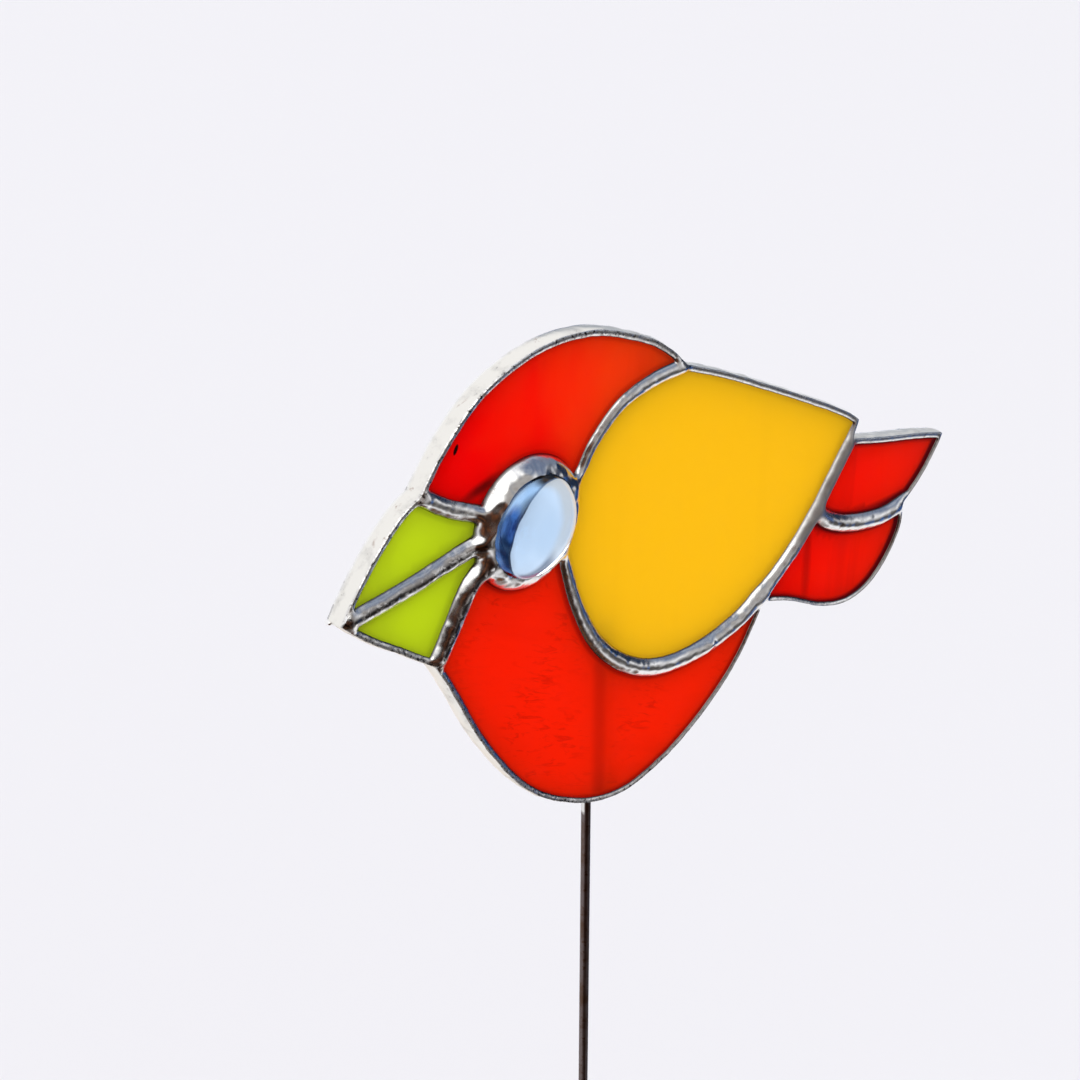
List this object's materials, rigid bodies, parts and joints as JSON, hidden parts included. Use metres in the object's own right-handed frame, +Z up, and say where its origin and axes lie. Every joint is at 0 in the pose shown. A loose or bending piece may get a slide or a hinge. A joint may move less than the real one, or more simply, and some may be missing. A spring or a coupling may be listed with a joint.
{
  "type": "stained glass garden stake",
  "caption": "Flat stained glass bird in soldered seams with a domed glass eye, on a thin steel stake that is pushed into soil.",
  "frame": {"origin": "centre of the rod's flat cut foot, at the level of the ground", "axes": "+Z up along the rod; the bird's front with the raised eye faces -Y; its beak points to -X and its tail to +X"},
  "size_m": [0.1557, 0.0123, 0.3443],
  "materials": {
    "red_glass": "streaky red art glass, polished faces",
    "orange_red_glass": "streaky orange-red art glass, polished faces",
    "lime_glass": "lime green opalescent glass, polished faces",
    "yellow_glass": "even golden yellow opalescent glass, polished faces",
    "pale_blue_glass": "clear pale blue nugget, fire polished",
    "solder": "bright tin solder, hand run and slightly lumpy",
    "dark_steel": "dark drawn steel rod"
  },
  "bodies": {
    "root": {"head_glass": "red_glass", "upper_beak_glass": "lime_glass", "lower_beak_glass": "lime_glass", "breast_glass": "orange_red_glass", "wing_glass": "yellow_glass", "upper_tail_glass": "red_glass", "lower_tail_glass": "red_glass", "eye_nugget": "pale_blue_glass", "solder_seams": "solder", "stake": "dark_steel"}
  },
  "joints": []
}
